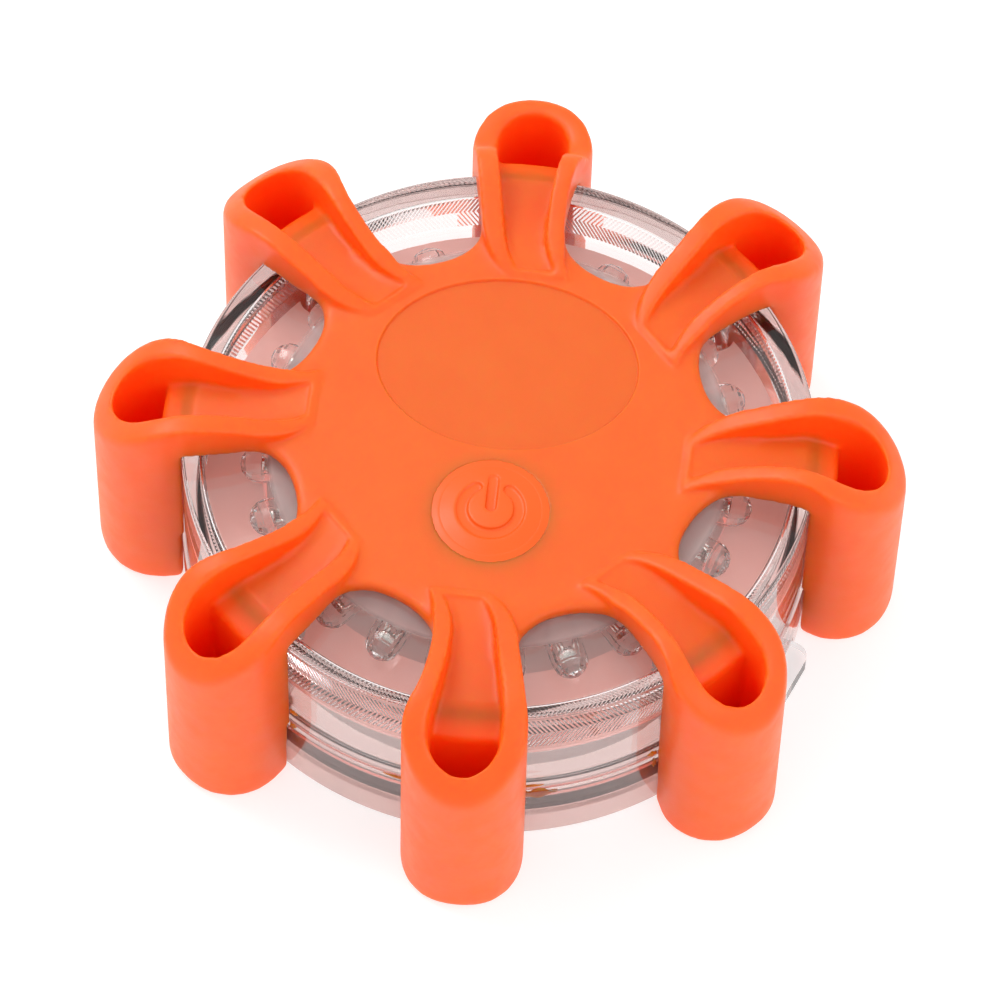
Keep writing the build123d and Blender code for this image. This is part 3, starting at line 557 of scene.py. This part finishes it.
# Smoothing: the grid that the shell is rebuilt on, the rounds for all of it and the further rounds
# for its feet, tips and window edges, and how far a point moves in each round
SHELL_VOXEL = 0.30
SHELL_ROUNDS = 5
SOFT_ROUNDS = 14
SHELL_PACE = 0.6
# The skin on the clear drum, where the rubber stays in place and then comes free
CONTACT_START = 0.1
CONTACT_SKIN = 0.45
# Where the further rounds work: heights of the feet, and distances from the middle for the rest
FOOT_SOFT = (5.0, 8.0)
EDGE_SOFT = (24.5, 34.0)
EDGE_CEILING = 0.05
TIP_SOFT = (42.0, 45.0)
# The flat of the plate and the recess in it
TOP_LAYER = 0.6
FLAT_RADIUS = 24.0
BUTTON_CLEAR = 7.5
OVAL_BAND = 0.9
OVAL_SLOPE = 0.13
OVAL_SINK = 0.38


def oval_distance(points):
    """Rough distance in millimetres outward from the edge of the oval recess."""
    x, y = points[:, 0], points[:, 1] - OVAL_Y
    level = np.sqrt((x / OVAL_HALF_LENGTH) ** 2 + (y / OVAL_HALF_WIDTH) ** 2)
    slope = np.sqrt((x / OVAL_HALF_LENGTH ** 2) ** 2 + (y / OVAL_HALF_WIDTH ** 2) ** 2)
    return (level - 1) * level / np.maximum(slope, 1e-6)


def on_plate_top(points):
    """Which points lie on the flat of the plate, away from the arms and the button."""
    near_button = np.hypot(points[:, 0], points[:, 1] - BUTTON_Y) < BUTTON_CLEAR
    inside = np.hypot(points[:, 0], points[:, 1]) < FLAT_RADIUS
    return inside & ~near_button & (points[:, 2] > PLATE_TOP - TOP_LAYER)


def refine_oval_edge(mesh):
    """Divides the faces along the edge of the oval recess, so that its step comes out crisp."""
    points = read_points(mesh)
    band = on_plate_top(points) & (np.abs(oval_distance(points)) < OVAL_BAND)
    form = bmesh.new()
    form.from_mesh(mesh)
    form.verts.ensure_lookup_table()
    edges = [e for e in form.edges if band[e.verts[0].index] and band[e.verts[1].index]]
    bmesh.ops.subdivide_edges(form, edges=edges, cuts=3, use_grid_fill=True)
    bmesh.ops.triangulate(form, faces=[f for f in form.faces if len(f.verts) > 4])
    form.to_mesh(mesh)
    form.free()


def build_shell():
    """The rubber shell with every edge rounded off, except where it lies tight on the clear drum."""
    mesh = mesh_through(
        NODES["bumper_shell"].data, ("REMESH", {"mode": "VOXEL", "voxel_size": SHELL_VOXEL * MM})
    )
    points = read_points(mesh)
    reach = np.hypot(points[:, 0], points[:, 1])
    past_wall = smooth_step(reach, LENS_RADIUS + CONTACT_START, LENS_RADIUS + CONTACT_SKIN)
    past_roof = smooth_step(points[:, 2], LENS_TOP + CONTACT_START, LENS_TOP + CONTACT_SKIN)
    free = SHELL_PACE * np.maximum(past_wall, past_roof)
    relax(mesh, SHELL_ROUNDS, free)
    feet = 1 - smooth_step(points[:, 2], *FOOT_SOFT)
    on_rim = (reach > EDGE_SOFT[0]) & (reach < EDGE_SOFT[1])
    in_plate = (points[:, 2] < PLATE_TOP + EDGE_CEILING) & (points[:, 2] > LENS_TOP)
    window_edges = (on_rim & in_plate).astype(float)
    tips = smooth_step(reach, *TIP_SOFT)
    relax(mesh, SOFT_ROUNDS, free * np.maximum(np.maximum(feet, tips), window_edges))
    refine_oval_edge(mesh)
    points = read_points(mesh)
    flat = on_plate_top(points)
    outside = smooth_step(oval_distance(points), -OVAL_SLOPE, OVAL_SLOPE)
    points[flat, 2] = (PLATE_TOP - OVAL_SINK * (1 - outside))[flat]
    write_points(mesh, points)
    add_piece("rubber_shell", mesh, "flare", "orange_rubber", "bumper_shell")


# ---------------------------------------------------------------- button

BUTTON_VOXEL = 0.13
BUTTON_ROUNDS = 3


def build_button():
    """The rubber pad with its sunk power symbol, all edges softened."""
    mesh = mesh_through(
        NODES["button_pad"].data, ("REMESH", {"mode": "VOXEL", "voxel_size": BUTTON_VOXEL * MM})
    )
    relax(mesh, BUTTON_ROUNDS, np.full(len(mesh.vertices), SHELL_PACE))
    button = add_piece("rubber_button", mesh, "button", "orange_rubber", "button_pad")
    button.data.materials[0] = THIN_RUBBER


# The section of the thin web that joins the pad to the shell, as (radius, height)
WEB = [
    (7.80, 32.12), (7.80, 32.22), (7.62, 32.275), (7.48, 32.30), (7.30, 32.34), (7.10, 32.39),
    (6.90, 32.44), (6.65, 32.475), (6.40, 32.47), (6.40, 32.41), (6.90, 32.36), (7.30, 32.24),
]
WEB_COLUMNS = 160


def build_web():
    """The thin rubber web round the pad, reaching from the shell at its outer edge to the pad inside."""
    shape = Shape()
    shape.add_ring(WEB, WEB_COLUMNS, Matrix.Translation((0, BUTTON_Y, 0)))
    web = bpy.data.objects.new("rubber_web", shape.mesh("rubber_web"))
    bpy.context.collection.objects.link(web)
    web.data.materials.append(THIN_RUBBER)
    web.data.shade_smooth()
    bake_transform(web)


# ---------------------------------------------------------------- moulding flash

FLASH_SEED = 11
FLASH_THICKNESS = 0.22
FLASH_SKIN = 0.04
FLASH_MIN_REACH = 0.05
FLASH_RAGGED = 0.06
FLASH_THINNING = 0.7
FLASH_TAPER = 2.5
FLASH_WANDER = 0.3
FLASH_WANDER_TURNS = 9
FLASH_COLUMNS = 14
FLASH_ROWS = 8
# Each scrap of flash: the angle where it leaves the arm, its signed width in degrees, height and length up.
FLASH = [
    (-79.6, 6.2, 10.3, 2.6), (-79.6, 3.6, 12.4, 0.5), (-99.6, -5.6, 11.1, 0.6), (-54.6, -1.9, 12.2, 1.5),
    (-54.6, -0.9, 9.6, 2.4), (-124.6, 1.7, 14.6, 1.2), (-124.6, 1.3, 11.0, 1.6), (-34.8, 1.2, 12.0, 1.0),
    (100.0, 3.4, 12.0, 0.8), (10.6, 2.0, 11.5, 1.1), (169.0, -2.2, 12.4, 0.7), (44.0, 12.0, 11.4, 0.4),
]


def build_flash():
    """Thin ragged scraps of rubber left on the drum beside the arms."""
    chance = random.Random(FLASH_SEED)
    shape = Shape()
    for start, width, height, rise in FLASH:
        points = []
        for layer in (0, 1):
            for column in range(FLASH_COLUMNS + 1):
                across = column / FLASH_COLUMNS
                wander = 1 - FLASH_WANDER + FLASH_WANDER * math.cos(across * FLASH_WANDER_TURNS + start)
                reach = rise / 2 * (1 - across ** FLASH_TAPER) * wander + FLASH_MIN_REACH
                for row in range(FLASH_ROWS + 1):
                    up = 2 * row / FLASH_ROWS - 1
                    ragged = chance.uniform(-FLASH_RAGGED, FLASH_RAGGED) * rise if layer == 0 else 0
                    edge = abs(up) ** 4 * ragged
                    angle = math.radians(start + width * across)
                    thinner = (1 - up ** 4 * FLASH_THINNING) * (1 - across ** 4 * FLASH_THINNING)
                    radius = LENS_RADIUS + FLASH_SKIN + FLASH_THICKNESS * layer * thinner
                    z = height + up * reach + edge
                    points.append((radius * math.cos(angle), radius * math.sin(angle), z))
        faces = []
        rows, layer_size = FLASH_ROWS + 1, (FLASH_COLUMNS + 1) * (FLASH_ROWS + 1)
        for column in range(FLASH_COLUMNS):
            for row in range(FLASH_ROWS):
                a = column * rows + row
                quad = (a, a + 1, a + rows + 1, a + rows)
                faces.append(quad)
                faces.append(tuple(layer_size + k for k in reversed(quad)))
        rim = [c * rows for c in range(FLASH_COLUMNS + 1)]
        rim += [FLASH_COLUMNS * rows + r for r in range(1, rows)]
        rim += [c * rows + rows - 1 for c in range(FLASH_COLUMNS - 1, -1, -1)]
        rim += list(range(rows - 2, 0, -1))
        for k, here in enumerate(rim):
            after = rim[(k + 1) % len(rim)]
            faces.append((here, after, layer_size + after, layer_size + here))
        shape.add(points, faces)
    add_piece("rubber_flash", shape.mesh("rubber_flash"), "flare", "orange_rubber")


# ---------------------------------------------------------------- clear drum

LENS_COLUMNS = 840
LENS_ROUND = 0.15
LENS_TOP_ROUND = 0.5
WALL_STEP = 1.0
INNER_DISC = 24.0
PUSHER_HOLE = 2.5
DISC_STEPS = 6
RIDGE_LEAD = 0.4
RIDGE_START = 38.2
RIDGE_END = 31.0
RIDGE_PITCH = 0.45
RIDGE_DEPTH = 0.045
BOSS_CIRCLE = 36.3
BOSS_OUTER = 2.5
BOSS_INNER = 1.15
BOSS_BOTTOM = 8.2
BOSS_BEVEL = 0.2
BOSS_GAP = 0.1
BOSS_COLUMNS = 32
TOOTH_DEPTH = 0.09
TOOTH_FADE = 0.1
TEETH_BOTTOM = 21.0
TEETH_TOP = 27.6
TIER_ROWS = 5
TEETH_SLANT = 1.6


def disc_rings(height):
    """Rings that pass from the middle of the roof to the hole for the button's post."""
    rings = []
    for step in range(1, DISC_STEPS + 1):
        t = step / DISC_STEPS
        rings.append((INNER_DISC + (PUSHER_HOLE - INNER_DISC) * t, height, BUTTON_Y * t))
    return rings


def roof_ridges():
    """Fine rings moulded in the underside of the roof, from the wall inward."""
    rings = []
    radius = RIDGE_START
    while radius > RIDGE_END:
        rings.append((radius, ROOF_BOTTOM))
        rings.append((radius - RIDGE_PITCH / 2, ROOF_BOTTOM - RIDGE_DEPTH))
        radius -= RIDGE_PITCH
    return rings


def toothed_rings():
    """Rings up the inside of the wall, with fine teeth that slant one way and then the other."""
    rows = 2 * TIER_ROWS
    rings = [(LENS_INNER, TEETH_BOTTOM - TOOTH_FADE, 0.0, 0.0, 0.0)]
    for row in range(rows + 1):
        height = TEETH_BOTTOM + (TEETH_TOP - TEETH_BOTTOM) * row / rows
        slant = TEETH_SLANT / LENS_INNER * (1 - abs(row / TIER_ROWS - 1))
        rings.append((LENS_INNER, height, 0.0, TOOTH_DEPTH, slant))
    rings.append((LENS_INNER, TEETH_TOP + TOOTH_FADE, 0.0, 0.0, 0.0))
    return rings


def build_lens():
    """The clear drum: a thick roof and wall in one, with a skirt that enters the base."""
    lower = round_corners([
        (INNER_DISC, LENS_TOP), (LENS_RADIUS, LENS_TOP), (LENS_RADIUS, FLANGE_TOP),
        (SKIRT_OUTER, FLANGE_TOP), (SKIRT_OUTER, SKIRT_BOTTOM), (SKIRT_INNER, SKIRT_BOTTOM),
        (SKIRT_INNER, FLANGE_TOP), (LENS_INNER, FLANGE_TOP + WALL_STEP),
        (LENS_INNER, TEETH_BOTTOM - WALL_STEP),
    ], LENS_ROUND, {1: LENS_TOP_ROUND})
    section = lower + toothed_rings() + [(RIDGE_START + RIDGE_LEAD, ROOF_BOTTOM)] + roof_ridges()
    section += [(INNER_DISC, ROOF_BOTTOM)] + disc_rings(ROOF_BOTTOM) + list(reversed(disc_rings(LENS_TOP)))
    shape = Shape()
    shape.add_ring(section, LENS_COLUMNS)
    boss_top = ROOF_BOTTOM - BOSS_GAP
    boss = [
        (BOSS_INNER, BOSS_BOTTOM), (BOSS_OUTER - BOSS_BEVEL, BOSS_BOTTOM),
        (BOSS_OUTER, BOSS_BOTTOM + BOSS_BEVEL), (BOSS_OUTER, boss_top - BOSS_BEVEL),
        (BOSS_OUTER - BOSS_BEVEL, boss_top), (BOSS_INNER, boss_top),
    ]
    for k in range(4):
        angle = math.radians(45 + 90 * k)
        place = Matrix.Translation((BOSS_CIRCLE * math.cos(angle), BOSS_CIRCLE * math.sin(angle), 0))
        shape.add_ring(boss, BOSS_COLUMNS, place)
    drum = add_piece("clear_drum", shape.mesh("clear_drum"), "flare", "clear_polycarbonate", "lens_drum")
    drum.data.materials[0] = DRUM
    for face in drum.data.polygons:
        reach = math.hypot(face.center.x, face.center.y) / MM
        height = face.center.z / MM
        in_teeth = LENS_INNER - WALL_STEP < reach < LENS_INNER and TEETH_BOTTOM < height < TEETH_TOP
        face.use_smooth = not in_teeth


# ---------------------------------------------------------------- LEDs

LED_COUNT = 24
LED_HEIGHT = 24.6
LED_BACK = 25.5
LED_RADIUS = 2.4
LED_RIM = 2.8
LED_RIM_LENGTH = 1.0
LED_LENGTH = 8.1
LED_COLUMNS = 12
LED_DOME_STEPS = 4
LED_ROUND = 0.1
LED_CUP_PLACE = 4.2
LED_CHIP_PLACE = 4.47
# Sections of the cup and the chip, as (radius, height)
LED_CUP = [(0, 0.0), (0.35, 0.0), (0.95, 0.9), (0.85, 0.95), (0.42, 0.25), (0, 0.25)]
LED_CHIP = [(0, 0.0), (0.26, 0.0), (0.3, 0.05), (0.3, 0.25), (0.22, 0.32), (0, 0.32)]
CUP_COLUMNS = 20
CHIP_COLUMNS = 8
BOARD_TOP = 20.2
LEG_REACH = 24.4
LEG_HALF_WIDTH = 0.25
LEG_OFFSET = 1.27
# The two posts inside an LED: side, how far the tip is from the LED's back, and how far it is off the axis
LED_POSTS = ((-1, 4.4, 0.45), (1, 4.8, 0.85))
POST_TIP_LENGTH = 1.2
POST_TIP_LEAN = 0.6
POST_KINK = 1.6
POST_FOOT = 0.2
# A leg's bend down to the board, as (distance out from the leg, distance below the LED's axis)
LEG_BEND = ((0.35, 0.0), (0.08, 0.1), (0.0, 0.4))
LEG_END = 0.05
# The wire from the longer post to the chip: distance from the LED's back, sideways and up
LED_WIRE = ((4.8, 0.5, 0.1), (5.3, 0.3, 0.35), (5.1, 0.08, 0.15), (4.8, 0.0, 0.0))
WIRE_HALF_WIDTH = 0.03


def led_section():
    """The section of one LED body, from the middle of its back to the tip of its dome."""
    shoulder = LED_LENGTH - LED_RADIUS
    corners = [
        (0, 0), (LED_RIM, 0), (LED_RIM, LED_RIM_LENGTH),
        (LED_RADIUS, LED_RIM_LENGTH), (LED_RADIUS, shoulder),
    ]
    dome = []
    for step in range(1, LED_DOME_STEPS):
        angle = math.pi / 2 * step / LED_DOME_STEPS
        dome.append((LED_RADIUS * math.cos(angle), shoulder + LED_RADIUS * math.sin(angle)))
    return round_corners(corners, LED_ROUND) + dome + [(0, LED_LENGTH)]


def led_place(index):
    """Where one LED lies: its axis points outward and its back is at LED_BACK."""
    turn = Matrix.Rotation(2 * math.pi * (index + 0.5) / LED_COUNT, 4, "Z")
    return turn @ Matrix.Translation((LED_BACK, 0, LED_HEIGHT)) @ Matrix.Rotation(math.pi / 2, 4, "Y")


def post_path(side, tip, lean):
    """The middle line of one post and its leg, from its tip in the LED to where it enters the board."""
    offset, bend = side * LEG_OFFSET, side * lean
    inside = [
        (LED_BACK + tip, bend * POST_TIP_LEAN, LED_HEIGHT),
        (LED_BACK + tip - POST_TIP_LENGTH, bend, LED_HEIGHT),
        (LED_BACK + POST_KINK, offset, LED_HEIGHT), (LED_BACK + POST_FOOT, offset, LED_HEIGHT),
    ]
    outside = [(LEG_REACH + out, offset, LED_HEIGHT - down) for out, down in LEG_BEND]
    return inside + outside + [(LEG_REACH, offset, BOARD_TOP + LEG_END)]


def build_leds():
    """Domed clear LEDs on their legs, with the cup, posts, chip and wire inside each."""
    bodies, frames, chips = Shape(), Shape(), Shape()
    for index in range(LED_COUNT):
        place = led_place(index)
        bodies.add_turned(led_section(), LED_COLUMNS, place)
        frames.add_turned(LED_CUP, CUP_COLUMNS, place @ Matrix.Translation((0, 0, LED_CUP_PLACE)))
        chips.add_turned(LED_CHIP, CHIP_COLUMNS, place @ Matrix.Translation((0, 0, LED_CHIP_PLACE)))
        turn = Matrix.Rotation(2 * math.pi * (index + 0.5) / LED_COUNT, 3, "Z")
        sideways = turn @ Vector((0, 1, 0))
        for side, tip, lean in LED_POSTS:
            path = [turn @ Vector(p) for p in post_path(side, tip, lean)]
            frames.add_rod(path, LEG_HALF_WIDTH, LEG_HALF_WIDTH, sideways)
        wire = [turn @ Vector((LED_BACK + out, aside, LED_HEIGHT + up)) for out, aside, up in LED_WIRE]
        frames.add_rod(wire, WIRE_HALF_WIDTH, WIRE_HALF_WIDTH, sideways)
    add_piece("led_bodies", bodies.mesh("led_bodies"), "flare", "clear_led", "side_leds").data.shade_flat()
    add_piece("led_frames", frames.mesh("led_frames"), "flare", "nickel")
    add_piece("led_chips", chips.mesh("led_chips"), "flare", "white_plastic")


build_shell()
build_button()
build_web()
build_flash()
build_lens()
build_leds()

# ---------------------------------------------------------------- finishes of the CAD nodes

for name, node in NODES.items():
    slot = node.material_slots[0].material.name.split(".")[0]
    node.material_slots[0].material = NODE_MATERIALS.get(name, SLOT_MATERIALS[slot])

# ---------------------------------------------------------------- floor and finish

FLOOR_HALF_SIZE = 3.0
FLOOR_LIGHT = (0.46, 0.46, 0.46)
FLOOR_DARK = (0.44, 0.44, 0.44)
FLOOR_PATCH = 60
FLOOR_GLOW = 0.66


def set_stage():
    """The plain pale floor, which gives off a little light so that it stays near white."""
    mesh = bpy.data.meshes.new("floor")
    form = bmesh.new()
    bmesh.ops.create_grid(form, x_segments=8, y_segments=8, size=FLOOR_HALF_SIZE)
    form.to_mesh(mesh)
    form.free()
    mesh.materials.append(moulded(
        "floor", FLOOR_LIGHT, FLOOR_DARK, 0.6, patch=FLOOR_PATCH,
        Emission_Color=(1, 1, 1, 1), Emission_Strength=FLOOR_GLOW,
    ))
    floor = bpy.data.objects.new("floor", mesh)
    bpy.context.collection.objects.link(floor)


set_camera()
set_light()
set_stage()
